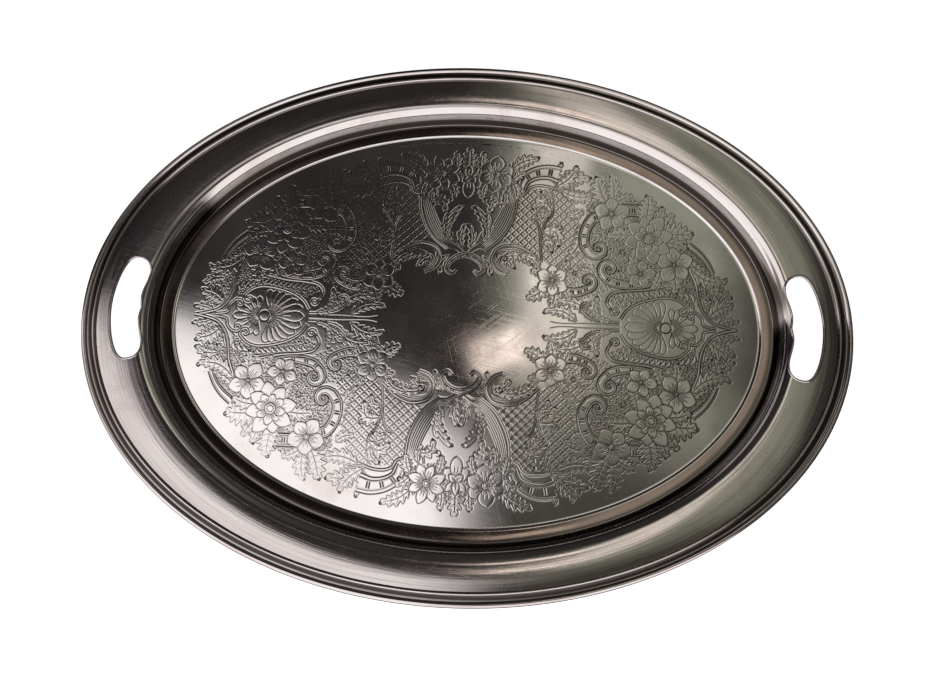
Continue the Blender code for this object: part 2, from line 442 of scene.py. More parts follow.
def set_field_normals(mesh, heights, used, sx, sy, top_faces):
    """Shading normals from the relief itself, so that the quadrants meet without a seam."""
    padded = np.pad(heights, 1, mode="reflect")
    slope_x = (padded[1:-1, 2:] - padded[1:-1, :-2]) / (2 * PITCH) * sx
    slope_y = (padded[2:, 1:-1] - padded[:-2, 1:-1]) / (2 * PITCH) * sy
    normal = np.stack((-slope_x, -slope_y, np.ones_like(slope_x)), axis=-1)
    normal /= np.linalg.norm(normal, axis=-1, keepdims=True)
    mesh.shade_smooth()
    loops = np.empty(len(mesh.loops), np.int64)
    mesh.loops.foreach_get("vertex_index", loops)
    count = top_faces * 4
    wanted = np.empty((len(loops), 3))
    wanted[:count] = normal[used][loops[:count]]
    flat = np.array([p.normal for p in mesh.polygons[top_faces:]])
    sizes = [p.loop_total for p in mesh.polygons[top_faces:]]
    wanted[count:] = np.repeat(flat, sizes, axis=0)
    mesh.normals_split_custom_set(wanted.tolist())

# ---------------------------------------------------------------- chasing tools

LINE, DEPTH = 0.50, 0.080       # an ordinary graver's cut, width and depth in millimetres
LEAF_LINE = 0.46                # and a leaf's finer outline
SWELL = 0.032                   # how far petals and bands stand proud


class Relief:
    """Chasing of one quadrant of the well, in millimetres; later motifs cover earlier ones."""

    def __init__(self, columns, rows, pitch):
        self.pitch = pitch
        self.cut = np.zeros((rows, columns))      # depth of the graver's lines
        self.swell = np.zeros((rows, columns))    # height of petals, leaves and bands
        self.dull = np.zeros((rows, columns))     # matted grounds, rubbed less than the rest

    def window(self, points, margin):
        """The part of the grid round some points: its slices and its X and Y coordinates."""
        rows, columns = self.cut.shape
        low = np.maximum(np.floor((points.min(axis=0) - margin) / self.pitch), 0).astype(int)
        high = np.ceil((points.max(axis=0) + margin) / self.pitch).astype(int) + 1
        high = np.minimum(high, (columns, rows))
        if (high <= low).any():
            return None, None, None
        x = np.arange(low[0], high[0])[None, :] * self.pitch
        y = np.arange(low[1], high[1])[:, None] * self.pitch
        return (slice(low[1], high[1]), slice(low[0], high[0])), x, y

    def line(self, points, width=LINE, depth=DEPTH, start=1.0, end=1.0):
        """Engraves a line; it starts and ends at a share of its full width."""
        points = np.asarray(points, float)
        share = np.linspace(0.0, 1.0, len(points))
        swelling = np.minimum(1.0, np.minimum(start + 4 * share, end + 4 * (1 - share)))
        for a, b, part in zip(points, points[1:], swelling):
            size = width * (0.5 + 0.5 * part)
            box, x, y = self.window(np.array((a, b)), 1.8 * size)
            if box is None:
                continue
            cut = depth * part * np.exp(-squared_distance(x, y, a, b) / (0.34 * size * size))
            np.maximum(self.cut[box], cut, out=self.cut[box])

    def dot(self, centre, size=0.55, depth=0.16):
        centre = np.asarray(centre, float)
        box, x, y = self.window(centre[None, :], 2.5 * size)
        if box is not None:
            cut = depth * np.exp(-((x - centre[0]) ** 2 + (y - centre[1]) ** 2) / (size * size))
            np.maximum(self.cut[box], cut, out=self.cut[box])

    def inside(self, outline):
        """Where the grid lies inside a closed outline."""
        box, x, y = self.window(outline, 0.0)
        if box is None:
            return None, None, None, None
        within = np.zeros((y.size, x.size), bool)
        for a, b in zip(outline, np.roll(outline, -1, axis=0)):
            if a[1] != b[1]:
                crossing = a[0] + (y - a[1]) / (b[1] - a[1]) * (b[0] - a[0])
                within ^= ((a[1] > y) != (b[1] > y)) & (x < crossing)
        return box, x, y, within

    def cover(self, outline, swell=SWELL, soft=0.9):
        """Lays a plain domed shape over whatever was chased there before."""
        box, x, y, within = self.inside(outline)
        if box is None or not within.any():
            return
        far = np.full(within.shape, 1e9)
        for a, b in zip(outline, np.roll(outline, -1, axis=0)):
            far = np.minimum(far, squared_distance(x, y, a, b))
        dome = swell * (1.0 - np.exp(-np.sqrt(far) / soft))
        self.cut[box][within] = 0.0
        self.swell[box][within] = dome[within]
        self.dull[box][within] = 0.0

    def cover_between(self, left, right, swell=SWELL, soft=0.9):
        """Covers the strip between two edges."""
        self.cover(np.vstack((left, right[::-1])), swell, soft)

    def heights(self):
        """The finished relief, in metres."""
        return (self.swell - self.cut) * 0.001


def squared_distance(x, y, a, b):
    """Squared distance of grid points to the straight line between two points."""
    along = b - a
    t = ((x - a[0]) * along[0] + (y - a[1]) * along[1]) / max(along @ along, 1e-9)
    t = np.clip(t, 0.0, 1.0)
    return (x - a[0] - t * along[0]) ** 2 + (y - a[1] - t * along[1]) ** 2


def through(points, steps=7, closed=False):
    """A smooth line through some points."""
    p = np.asarray(points, float)
    if closed:
        p = np.vstack((p[-1:], p, p[:2]))
    else:
        p = np.vstack((2 * p[0] - p[1], p, 2 * p[-1] - p[-2]))
    t = np.linspace(0.0, 1.0, steps, endpoint=False)[:, None]
    parts = []
    for a, b, c, d in zip(p, p[1:], p[2:], p[3:]):
        parts.append(0.5 * (2 * b + (c - a) * t + (2 * a - 5 * b + 4 * c - d) * t ** 2
                            + (3 * b - a - 3 * c + d) * t ** 3))
    line = np.vstack(parts)
    return line if closed else np.vstack((line, p[-2:-1]))


def beside(points, distance):
    """The line beside another, to its left, at a distance that may change along it."""
    along = np.gradient(points, axis=0)
    along /= np.maximum(np.linalg.norm(along, axis=1, keepdims=True), 1e-9)
    left = np.column_stack((-along[:, 1], along[:, 0]))
    return points + left * np.broadcast_to(distance, len(points))[:, None]


def toward(angle):
    """Unit vector at an angle in degrees."""
    return np.array((math.cos(math.radians(angle)), math.sin(math.radians(angle))))


def coil(centre, radius, start, sweep, steps=22, tight=0.22):
    """A spiral winding in round a centre, angles in degrees."""
    share = np.linspace(0.0, 1.0, steps)
    angle = np.radians(start + sweep * share)
    size = radius * (1 - (1 - tight) * share ** 0.9)
    return np.asarray(centre) + size[:, None] * np.column_stack((np.cos(angle), np.sin(angle)))


def hooked(points, steps, *curl):
    """A smooth line through some points that runs on into a coil."""
    return np.vstack((through(points, steps), coil(*curl)))


def blade(base, tip, width, bend=0.0, steps=14, full=0.9, blunt=0.75):
    """Spine, left edge and right edge of a petal, bent to its left."""
    base, tip = np.asarray(base, float), np.asarray(tip, float)
    t = np.linspace(0.0, 1.0, steps + 1)
    along = tip - base
    side = np.array((-along[1], along[0]))
    spine = base + t[:, None] * along + (bend * np.sin(np.pi * t))[:, None] * side
    half = 0.5 * width * np.sin(np.pi * t ** full) ** blunt
    return spine, beside(spine, half), beside(spine, -half)


def petal(relief, base, tip, width, bend=0.0, veins=3, swell=SWELL, full=0.9, blunt=0.75, depth=DEPTH):
    spine, left, right = blade(base, tip, width, bend, 14, full, blunt)
    relief.cover_between(left, right, swell)
    relief.line(left, LINE, depth)
    relief.line(right, LINE, depth)
    for k in range(veins):
        turn = (k - (veins - 1) / 2) * 0.20 * width
        vein = beside(spine, turn * np.linspace(0.4, 1.0, len(spine)))
        relief.line(vein[1:9 if k % 2 else 6], 0.42, 0.07, 1.0, 0.1)


def leaf(relief, base, tip, width, bend=0.0, lobes=4, curl=0.0, swell=SWELL):
    """An acanthus leaf: an outline notched into lobes that lean forward, a midrib and veins."""
    steps = 12 * lobes
    spine = blade(base, tip, width, bend, steps)[0]
    t = np.linspace(0.0, 1.0, steps + 1)
    phase = (lobes * t) % 1.0
    full = np.sin(np.pi * np.clip(t, 0.02, 0.98) ** 0.80) ** 0.62
    half = 0.5 * width * full * (0.50 + 0.50 * np.sin(np.pi * phase ** 1.6))
    lean = np.gradient(spine, axis=0) * (2.6 * np.sin(np.pi * phase ** 1.6))[:, None]
    left, right = beside(spine, half) + lean, beside(spine, -half) + lean
    relief.cover_between(left, right, swell)
    relief.line(left, LEAF_LINE, DEPTH)
    relief.line(right, LEAF_LINE, DEPTH)
    relief.line(spine[2:-4], 0.46, 0.085, 1.0, 0.2)
    for k in range(lobes):
        root, end = int((k + 0.10) * 12), min(int((k + 0.72) * 12), steps)
        for side in (left, right):
            middle = 0.5 * (spine[root] + side[end]) + 0.10 * (spine[end] - spine[root])
            relief.line(through((spine[root], middle, spine[end] + 0.72 * (side[end] - spine[end])), 4),
                        0.36, 0.06, 1.0, 0.1)
    if curl:
        way = math.degrees(math.atan2(*(spine[-1] - spine[-3])[::-1]))
        turn = 90 if curl > 0 else -90
        size = abs(curl)
        hook = coil(spine[-1] + size * toward(way + turn), size, way - turn, 3.0 * turn, 14, 0.35)
        relief.line(hook, 0.62, 0.15)


def leaves(relief, *shapes):
    """Several leaves, each given by its base, tip, width and so on."""
    for shape in shapes:
        leaf(relief, *shape)


def flower(relief, centre, radius, petals, turn=0.0, rows=1, width=0.75, heart=0.17):
    """A flower seen from above, its pointed petals in one or two rows round a beaded heart."""
    centre = np.asarray(centre, float)
    for row in range(rows):
        reach = radius * (1.0 - 0.40 * row)
        for k in list(range(0, petals, 2)) + list(range(1, petals, 2)):
            angle = turn + (k + 0.5 * row) * 360 / petals
            size = reach * (1.0 + 0.06 * math.sin(2.4 * k + turn))
            bend = 0.06 * math.sin(1.7 * k + turn)
            petal(relief, centre + toward(angle) * 0.10 * radius, centre + toward(angle) * size,
                  size * width, bend, 5, SWELL, 1.15, 0.78)
    ring = coil(centre, heart * radius, 0, 360, 20, 1.0)
    relief.cover(ring, 2 * SWELL)
    relief.line(ring, LINE, 0.11)
    beads = max(5, int(heart * radius * 3))
    for k in range(beads):
        relief.dot(centre + 0.58 * heart * radius * toward(360 * k / beads), 0.42, 0.13)
    for k in range(3 * petals):
        way = toward(120 * k / petals)
        start = centre + way * heart * radius * 1.2
        relief.line(np.linspace(start, start + way * radius * 0.14, 4), 0.4, 0.08, 1.0, 0.1)


def ribbon(relief, path, width, marks=(), inner=1.3):
    """A C-scroll: a flat band between double edges, with pairs of notches down its middle."""
    width = np.broadcast_to(width, len(path)).astype(float)
    left, right = beside(path, width / 2), beside(path, -width / 2)
    relief.cover_between(left, right, 1.4 * SWELL, 0.6)
    for side in (1, -1):
        relief.line(beside(path, side * width / 2), 0.60, 0.125)
        inset = np.maximum(width / 2 - inner, 0.15 * width)
        relief.line(beside(path, side * inset), LINE, 0.09, 1.0, 0.3)
        relief.line(beside(path, side * (inset - 0.35 * inner)), 0.4, 0.05, 0.5, 0.2)
    across = beside(path, 1.0) - path
    for share in marks:
        k = int(share * (len(path) - 1))
        along = np.array((across[k][1], -across[k][0]))
        for shift in (-0.9, 0.9):
            middle = path[k] + along * shift
            reach = across[k] * max(0.17 * width[k], 0.6)
            relief.line((middle - reach, middle + reach), 0.72, 0.13)


def stem(relief, path, width=1.5):
    """A narrow raised strap between two cuts."""
    left, right = beside(path, width / 2), beside(path, -width / 2)
    relief.cover_between(left, right, 1.6 * SWELL, 0.5)
    relief.line(left, 0.54, 0.11)
    relief.line(right, 0.54, 0.11)


def lattice(relief, outline, across=6.8, up=6.4):
    """Diaper work: crossing lines round pillowed cells, each with a dot."""
    box, x, y, within = relief.inside(outline)
    u, v = x / across + y / up, x / across - y / up
    cell = across * up / math.hypot(across, up)
    far = np.minimum(np.abs(u - np.round(u)), np.abs(v - np.round(v))) * cell
    dots = np.hypot(u - np.floor(u) - 0.5, v - np.floor(v) - 0.5) * cell
    cut = np.maximum(0.052 * np.exp(-far ** 2 / 0.10), 0.085 * np.exp(-dots ** 2 / 0.22))
    relief.cut[box][within] = cut[within]
    relief.swell[box][within] = (0.03 * np.clip(far / 1.2, 0, 1))[within]
    relief.dull[box][within] = 0.05


def matting(relief, outline, rng, spacing, depth):
    """Ground stippled all over with a round punch."""
    box, _, _, within = relief.inside(outline)
    relief.dull[box][within] = 0.11
    low, high = outline.min(axis=0), outline.max(axis=0)
    for row in np.arange(low[1], high[1], spacing):
        for column in np.arange(low[0], high[0], spacing):
            place = np.array((column, row)) + rng.uniform(-0.5, 0.5, 2) * spacing
            i = int(round(place[1] / relief.pitch)) - box[0].start
            j = int(round(place[0] / relief.pitch)) - box[1].start
            if 0 <= i < within.shape[0] and 0 <= j < within.shape[1] and within[i, j]:
                relief.dot(place, rng.uniform(0.36, 0.55), depth * rng.uniform(0.6, 1.2))


def hatching(relief, first, last, count, width=0.45, depth=0.08):
    """Fine parallel cuts that follow the change from one line to another."""
    for share in np.linspace(0.0, 1.0, count):
        relief.line(first + share * (last - first), width, depth, 0.2, 0.2)


def tendril(relief, centre, radius, start, sweep):
    """A little curl with a bead at its end."""
    curl = coil(centre, radius, start, sweep, 20, 0.3)
    relief.line(curl, 0.54, 0.11, 0.3, 1.0)
    relief.dot(curl[-1], 0.6, 0.16)

# ---------------------------------------------------------------- chased design
# Places are millimetres from the well's middle, on the quadrant at +X +Y.


def lay_grounds(relief, rng):
    lattice(relief, through(((39, 98), (36, 80), (28, 66), (40, 62), (58, 52), (72, 40), (92, 44), (90, 62),
                             (86, 84), (78, 104), (60, 108), (46, 106)), closed=True))
    for spacing, depth, *outline in (
            (1.25, 0.10, (92, 96), (96, 66), (104, 50), (118, 34), (158, 34), (180, 24), (200, 14),
             (188, 44), (168, 70), (140, 96), (118, 106)),
            (1.5, 0.08, (78, 46), (112, 50), (112, 28), (84, 18), (66, 10), (62, 22)),
            (1.4, 0.11, (112, 20), (112, 26), (152, 32), (172, 30), (176, 12), (166, 22), (140, 21),
             (122, 14)),
            (1.4, 0.10, (2, 132), (30, 128), (42, 118), (34, 108), (14, 104), (2, 108))):
        matting(relief, np.array(outline), rng, spacing, depth)


def chase_basket(relief):
    """Acanthus scrolls that sweep up from the cartouche to the bouquet on the long side."""
    outer = through(((15, 57), (26, 66), (33, 77), (37, 89), (38, 101)), 10)
    inner = through(((8, 61), (16, 70), (22, 80), (27, 91), (31, 103)), 10)
    relief.cover_between(outer, inner)
    hatching(relief, inner, outer, 8, 0.5, 0.11)
    stem(relief, outer)
    for k in range(4):
        start, end = np.array((7 + 1.2 * k, 61 + 0.6 * k)), np.array((5.0 + 2.5 * k, 92 - 5.0 * k))
        leaf(relief, start, end, 8.5 - k, -0.34 + 0.02 * k, 4, 1.3 - 0.15 * k)
    leaf(relief, (3, 58), (1.5, 77), 7, -0.12, 3, 1.0)
    stem(relief, through(((24, 105), (24.5, 98), (22, 93)), 8), 1.1)
    leaves(relief, ((29, 97), (17.5, 88), 9, -0.34, 4, 0.9), ((28, 105), (26, 92), 6, 0.15, 3))
    tendril(relief, (14, 97), 3.0, 60, 300)
    for start, end in (((2, 56), (12, 62)), ((3, 53), (15, 57)), ((1, 59.5), (9, 64))):
        relief.line(through((start, (0.5 * (start[0] + end[0]), start[1] + 4), end)))
    path = through(((0, 52.5), (6, 51), (12, 46.5), (14, 40.5), (10, 37.5), (7, 40)), 9)
    ribbon(relief, path, np.linspace(5, 1.6, len(path)), (0.2, 0.36))
    leaf(relief, (13, 52), (19, 38), 6, 0.20, 3, 0.9)


def chase_bouquet(relief, petals):
    """Flowers in the middle of the long side, a whole one on the axis and one beside it."""
    leaves(relief, ((33, 124), (54, 133), 11, 0.10, 5, 1.1), ((10, 124), (11, 137), 8, 0.05, 3, 0.8),
           ((34, 112), (37, 99), 10, 0.10, 4), ((34, 114), (44, 121), 8, 0.1, 3),
           ((14, 112), (11, 99), 8, -0.10, 4, 0.9), ((0, 123), (0, 141), 12, 0.0, 4))
    for tip in ((-8.5, 108), (8.5, 108), (0, 99)):
        petal(relief, (0, 117), tip, 9.0, 0.0, 5, SWELL, 1.25, 0.62)
    for tip in ((-7.5, 124), (7.5, 124), (-5, 112), (5, 112), (0, 127)):
        petal(relief, (0, 117), tip, 5.5, 0.0, 3)
    flower(relief, (21.5, 119), 14.5, petals, 24, 1, 0.50 if petals > 6 else 0.74, 0.2)


def chase_arch(relief):
    """The notched arch that springs from the basket, and the acanthus fan at its end."""
    stem(relief, through(((38, 101), (44, 103.5), (47, 108), (53, 110.5), (62, 110), (71, 107)), 8), 1.8)
    leaves(relief, ((72, 107), (101, 104), 12, -0.12, 6, 1.2), ((68, 108), (95, 117), 16, 0.16, 6, 1.2),
           ((68, 110), (85, 127), 11, -0.10, 5, 1.0), ((68, 112), (73, 129), 8, 0.16, 4, 1.3))
    path = through(((71, 120), (62, 122), (52, 120.5), (44, 115.5), (40.5, 107)), 10)
    ribbon(relief, path, np.linspace(13.5, 8, len(path)), (0.22, 0.45, 0.68), 2.4)
    edge = beside(path, np.linspace(4.0, 2.4, len(path)))
    relief.line(edge, 0.6, 0.12)
    curl = coil((41, 116.3), 2.2, 120, -400, 26, 0.2)
    relief.cover(curl[:14])
    relief.line(curl, 0.7, 0.16)


def chase_vine(relief):
    """A climbing stem with cupped leaves on the diaper ground."""
    stem(relief, through(((58, 50), (57, 62), (56, 74), (53, 82), (49, 83.5)), 8), 1.2)
    stem(relief, through(((57, 66), (60, 79), (66, 88), (64, 97), (56, 102)), 8), 1.2)
    leaves(relief, ((58, 73), (70, 62), 13, 0.42, 5, 1.1), ((58, 64), (65, 57), 7, 0.36, 3, 1.0),
           ((66, 90), (50, 92), 12, -0.36, 5, 0.9), ((64, 94), (57, 106), 7, -0.20, 3, 0.8),
           ((53, 84), (62, 84), 7, 0.3, 3, 0.8), ((90, 92), (77, 87), 9, 0.15, 4),
           ((87, 80), (77, 51), 11, 0.16, 6, 1.0))
    tendril(relief, (72, 76), 3.0, 200, -300)


def chase_cartouche_scroll(relief):
    """The big leafy C-scroll over the cartouche's shoulder."""
    for size, depth in ((1.9, 0.11), (3.4, 0.09), (4.8, 0.08)):
        path = through(((58, 48 - size), (48, 57 - size), (36, 61.5 - size), (24, 58.5 - size * 0.7),
                        (19.5 + size, 49), (24 + size * 0.6, 41 + size * 0.7), (33, 38 + size)), 9)
        relief.line(path, 0.55, depth, 0.3, 0.4)
    path = through(((58, 48), (48, 57), (36, 61.5), (24, 58.5), (19.5, 49), (24, 41), (31, 38)), 9)
    stem(relief, path, 1.7)
    leaves(relief, ((24, 47), (36, 43), 10, 0.34, 4, 1.2), ((29, 52), (50, 46), 9, 0.18, 5, 1.0),
           ((40, 54), (57, 41), 8, 0.16, 5, 0.8))
    relief.line(coil((29.5, 50), 3.2, 200, -420, 26, 0.2), 0.7, 0.15)


def chase_side_scrolls(relief):
    """Three notched C-scrolls that back one another between the flowers and the cartouche."""
    for points, curl, shares, widths, marks in (
            (((106, 87), (97, 84), (91.5, 74), (91, 64), (95.5, 56.5)), ((101.5, 60.5), 6.6, 222, 400),
             (0, 0.5, 1), (8.5, 7.5, 1.0), (0.09, 0.20, 0.31, 0.42)),
            (((152, 37), (138, 32.5), (124, 32), (112, 34.5), (105.5, 40)), ((110, 44.5), 6.0, 190, -400),
             (0, 0.3, 0.55, 1), (2.0, 7.0, 6.5, 1.0), (0.24, 0.34, 0.44)),
            (((76, 25.5), (86, 25.5), (93.5, 28)), ((94, 34.5), 5.6, -70, 380),
             (0, 0.4, 1), (7.5, 6.0, 1.0), (0.1, 0.22, 0.34))):
        path = hooked(points, 9, *curl, 34, 0.2)
        ribbon(relief, path, np.interp(np.linspace(0, 1, len(path)), shares, widths), marks)
    for curl in (((120, 58), 3.4, 250, 330), ((118, 44), 2.6, 130, -300), ((84, 40), 2.6, 10, 320)):
        tendril(relief, *curl)


def chase_spirals(relief):
    """Leafy spirals on the long axis between the cartouche and the shell."""
    leaves(relief, ((86, 3), (61, 10), 10, -0.16, 5, 1.1), ((98, 4), (68, 18), 10, -0.20, 6, 1.2))
    stem(relief, hooked(((118, 3), (106, 3.5), (96, 6), (89, 12)), 8,
                        (93, 14.5), 4.0, 190, -380, 26, 0.2), 1.6)
    leaves(relief, ((104, 5), (102, 22), 10, 0.24, 5, 1.1), ((113, 4), (98, 12), 6, 0.15, 4))
    relief.line(through(((66, 2.4), (75, 1.2), (96, 1.8), (118, 1.2))))


def chase_shell(relief):
    """The shell on the long axis: two fans of ribs in an oval strapwork frame."""
    frame = ((119, 6), (124, 13), (133, 18.5), (145, 22), (156, 23), (164, 20.5), (169.5, 15.5))
    tip = ((178, 9), (181, 0), (176, -9), (164, -20.5), (145, -22), (124, -13))
    relief.cover(through(frame + tip, closed=True), 0.02)
    for middle, reach_x, reach_y, facing, ribs, spread in (
            (149.0, 27.0, 20.5, 180.0, 6, 15.5), (157.0, 20.0, 15.0, 0.0, 4, 22.0)):
        for k in sorted(range(-ribs, ribs + 1), key=abs, reverse=True):
            way = toward(facing + spread * k)
            size = 1.0 / math.hypot(way[0] / reach_x, way[1] / reach_y)
            centre = np.array((middle, 0.0))
            petal(relief, centre + 2.5 * way, centre + size * way, 0.30 * size, 0.0, 3, SWELL, 2.1, 0.6)
    boss = coil((152.5, 0), 4.0, 0, 360, 18, 1.0)
    relief.cover(boss, 2 * SWELL)
    relief.line(boss, 0.7, 0.15)
    stem(relief, hooked(frame, 8, (165.8, 13), 4.2, 20, -330, 24, 0.25), 1.7)
    stem(relief, hooked(((190, 0.8), (181.5, 2.5), (180, 8), (176, 12)), 8,
                        (172.6, 9.2), 3.4, 60, 330, 24, 0.25), 1.6)
    stem(relief, hooked(((152, 32), (138, 29), (124, 27.8), (113, 25.5), (108.5, 19), (111.5, 13)), 8,
                        (115, 12.2), 3.8, 150, 380, 26, 0.25), 1.8)
    for x in np.linspace(117, 152, 10):
        low = 21.0 + 0.10 * (x - 117)
        petal(relief, (x, low + 4.0), (x + 3.4, low), 2.4, 0.25, 0)
    for x in np.linspace(158, 174, 5):
        petal(relief, (x, 27), (x + 3.4, 24 - 0.4 * (x - 158)), 2.8, 0.25, 0)


def chase_corner_flowers(relief):
    """The diagonal bouquet of four flowers among lobed leaves."""
    leaves(relief, ((108, 98), (101, 119), 17, 0.05, 5, 1.2), ((113, 98), (112, 120), 13, -0.08, 5, 1.0),
           ((114, 96), (129, 104), 10, 0.08, 5))
    ribbon(relief, np.array(((119.0, 92), (125, 92), (129, 92), (134, 92))), 9.5, (0.34, 0.67), 1.6)
    leaves(relief, ((137, 80), (141, 104), 19, -0.05, 6, 1.6), ((144, 80), (152, 95), 11, -0.10, 4, 1.0),
           ((149, 76), (160, 90), 10, -0.05, 4), ((150, 72), (174, 73), 21, 0.04, 6, 1.7),
           ((150, 66), (170, 62), 12, 0.10, 5, 1.0), ((130, 70), (109, 71), 13, -0.08, 5),
           ((132, 64), (126, 49), 11, 0.10, 5), ((136, 76), (123, 85), 13, 0.12, 5),
           ((156, 46), (160, 27), 13, 0.12, 5, 1.2), ((149, 44), (143, 30), 9, 0.10, 4))
    for bloom in (((134, 41.5), 11.5, 5, 80, 1, 0.72, 0.14), ((112, 89), 14, 5, 92, 1, 0.80, 0.17),
                  ((160, 49), 14.5, 5, 20, 1, 0.76, 0.11), ((141, 69.5), 19.5, 8, 12, 2, 0.56, 0.22)):
        flower(relief, *bloom)


def chase_outer_leaves(relief):
    """Leaves and curls along the pointed end, down to the tip on the long axis."""
    path = through(((171, 65), (179, 58.5), (185, 51), (189, 43)), 9)
    ribbon(relief, path, np.linspace(5.5, 3.6, len(path)), (), 1.0)
    frame = through(((172, 44), (176, 34), (177.5, 24), (181, 13), (188, 5), (198, 1.6), (206, 0)), 9)
    leaves(relief, ((181, 38), (191, 22), 12, 0.16, 5, 1.2), ((185, 29), (202, 24), 10, 0.14, 5, 1.1),
           ((169, 55), (187, 43), 9, -0.10, 5), ((171, 48), (199, 37), 13, -0.16, 7, 1.8),
           ((185, 9), (203, 18), 15, 0.12, 5, 1.6), ((183, 12), (187, 22), 6, 0.10, 3, 1.0),
           ((192, 3), (207, 6), 7, 0.10, 4, 0.9))
    stem(relief, frame, 1.8)
    hatching(relief, frame[8:40], beside(frame, 3.0)[8:40], 3)
    tendril(relief, (195, 30), 2.4, 0, 320)


def chase_cartouche_flower(relief):
    """The flower and leaves at the cartouche's corner."""
    leaves(relief, ((62, 30), (47, 20), 12, 0.10, 5), ((68, 28), (66, 13), 10, 0.08, 4),
           ((74, 30), (80, 19), 9, 0.10, 4), ((61, 38), (50, 41), 8, -0.10, 3),
           ((73, 42), (80, 49), 8, 0.10, 3))
    flower(relief, (66.5, 34.5), 13.0, 6, 92, 1, 0.72, 0.18)


def chase_quadrant(columns, rows, petals):
    """All the chased work of one quadrant, grounds first and the foremost flowers last."""
    relief = Relief(columns, rows, PITCH * 1000)
    lay_grounds(relief, np.random.RandomState(11))
    for chase in (chase_basket, chase_vine, chase_cartouche_scroll, chase_spirals, chase_shell,
                  chase_side_scrolls, chase_outer_leaves, chase_arch):
        chase(relief)
    chase_bouquet(relief, petals)
    chase_corner_flowers(relief)
    chase_cartouche_flower(relief)
    return relief

# ---------------------------------------------------------------- materials


def node(tree, kind, inputs=None, **settings):
    """Adds a shader node; an input is a value or another node's output."""
    made = tree.nodes.new("ShaderNode" + kind)
    for key, value in settings.items():
        setattr(made, key, value)
    for key, value in (inputs or {}).items():
        if isinstance(value, bpy.types.NodeSocket):
            tree.links.new(value, made.inputs[key])
        else:
            made.inputs[key].default_value = value
    return made


# Reflected colours of the plate: clean, warm where it is worn, brown where it is stained
PAN_TINTS = ((0.90, 0.88, 0.87), (0.83, 0.79, 0.78), (0.58, 0.49, 0.47))
RIM_TINTS = ((0.90, 0.88, 0.87), (0.81, 0.75, 0.74), (0.50, 0.41, 0.40))
# colour of dirt, and of the painted shade on the wall, towards the rim and in the rim's groove
GRIME_AND_SHADE = (0.060, 0.050, 0.047)
LEDGE_STAIN = (0.20, 0.150, 0.120)
BRASS_TINTS = ((0.62, 0.45, 0.22), (0.30, 0.19, 0.09))
UNDER_METAL = 0.45                        # underside: lower than real metal, so that it stays grey

# Heights between which a darker band comes in and goes again, in metres: a stain on the ledge, grime at the
# wall's foot with painted shade up the wall, painted shade on the flange towards the rim
LEDGE_BAND = (0.0019, 0.0020, 0.0028, 0.0032)
# grime at the wall's foot, then painted shade up the wall to 16 mm
FOOT_GRIME_WALL_SHADE_BAND = (0.0027, 0.0032, 0.0090, 0.0160)
# painted shade on the outer flange, darkest towards the rim
RIM_SHADE_BAND = (0.0226, 0.0235, 0.0237, 0.0238)
FLANGE_START = (0.815, 0.845)             # shares of the outline where the drawn streaks come in


def value(tree, operation, *terms, **settings):
    """A maths node on values or sockets."""
    return node(tree, "Math", dict(enumerate(terms)), operation=operation, **settings).outputs[0]


def times(tree, first, second):
    return value(tree, "MULTIPLY", first, second)


def noise(tree, vector, scale, detail=3.0, rough=0.5):
    return node(tree, "TexNoise", {"Vector": vector, "Scale": scale, "Detail": detail,
                                   "Roughness": rough}).outputs["Fac"]


def ramp(tree, fac, low, high, out_low=0.0, out_high=1.0):
    """Straight clamped ramp from one pair of values to another."""
    return node(tree, "MapRange", {0: fac, 1: low, 2: high, 3: out_low, 4: out_high}).outputs[0]


def soft_edge(tree, fac, limit, soft):
    """Smooth mask, 1 below a limit and 0 above it."""
    return node(tree, "MapRange", {0: fac, 1: limit + soft, 2: limit - soft},
                interpolation_type="SMOOTHSTEP").outputs[0]


def band(tree, place, limits):
    """Mask that comes in between the first two limits and goes between the last two."""
    return times(tree, ramp(tree, place, *limits[:2]), ramp(tree, place, limits[3], limits[2]))


def blend(tree, fac, first, second):
    """Mix of two colours; each is a socket or a colour."""
    made = node(tree, "Mix", {0: fac}, data_type="RGBA")
    for index, colour in ((6, first), (7, second)):
        if isinstance(colour, bpy.types.NodeSocket):
            tree.links.new(colour, made.inputs[index])
        else:
            made.inputs[index].default_value = (*colour, 1.0)
    return made.outputs[2]


def stretched(tree, place, turn, scale):
    """Coordinates turned about Z and then stretched, for scratches and drawn streaks."""
    turned = node(tree, "Mapping", {0: place}, vector_type="POINT")
    turned.inputs["Rotation"].default_value = (0, 0, math.radians(turn))
    made = node(tree, "Mapping", {0: turned.outputs[0]}, vector_type="POINT")
    made.inputs["Scale"].default_value = scale
    return made.outputs[0]


def scratches(tree, place, turn, length, across, thin):
    """Thin straight lines in one direction, as a mask."""
    fibre = noise(tree, stretched(tree, place, turn, (length, across, length)), 1.0, 2.0, 0.4)
    return ramp(tree, fibre, thin, thin + 0.06)


def round_oval(tree, place):
    """Coordinates that follow the oval, and how far out a point lies: 1 is the outermost line."""
    split = node(tree, "SeparateXYZ", {0: place})
    x = value(tree, "DIVIDE", split.outputs["X"], HALF_LENGTH)
    y = value(tree, "DIVIDE", split.outputs["Y"], HALF_WIDTH)
    reach = value(tree, "SQRT", value(tree, "ADD", times(tree, x, x), times(tree, y, y)))
    out = node(tree, "CombineXYZ", {0: value(tree, "DIVIDE", x, reach), 1: value(tree, "DIVIDE", y, reach),
                                    2: times(tree, reach, 60.0)})
    return out.outputs[0], reach


def new_material(name):
    material = bpy.data.materials.new(name)
    material.use_nodes = True
    return material, material.node_tree, material.node_tree.nodes["Principled BSDF"]


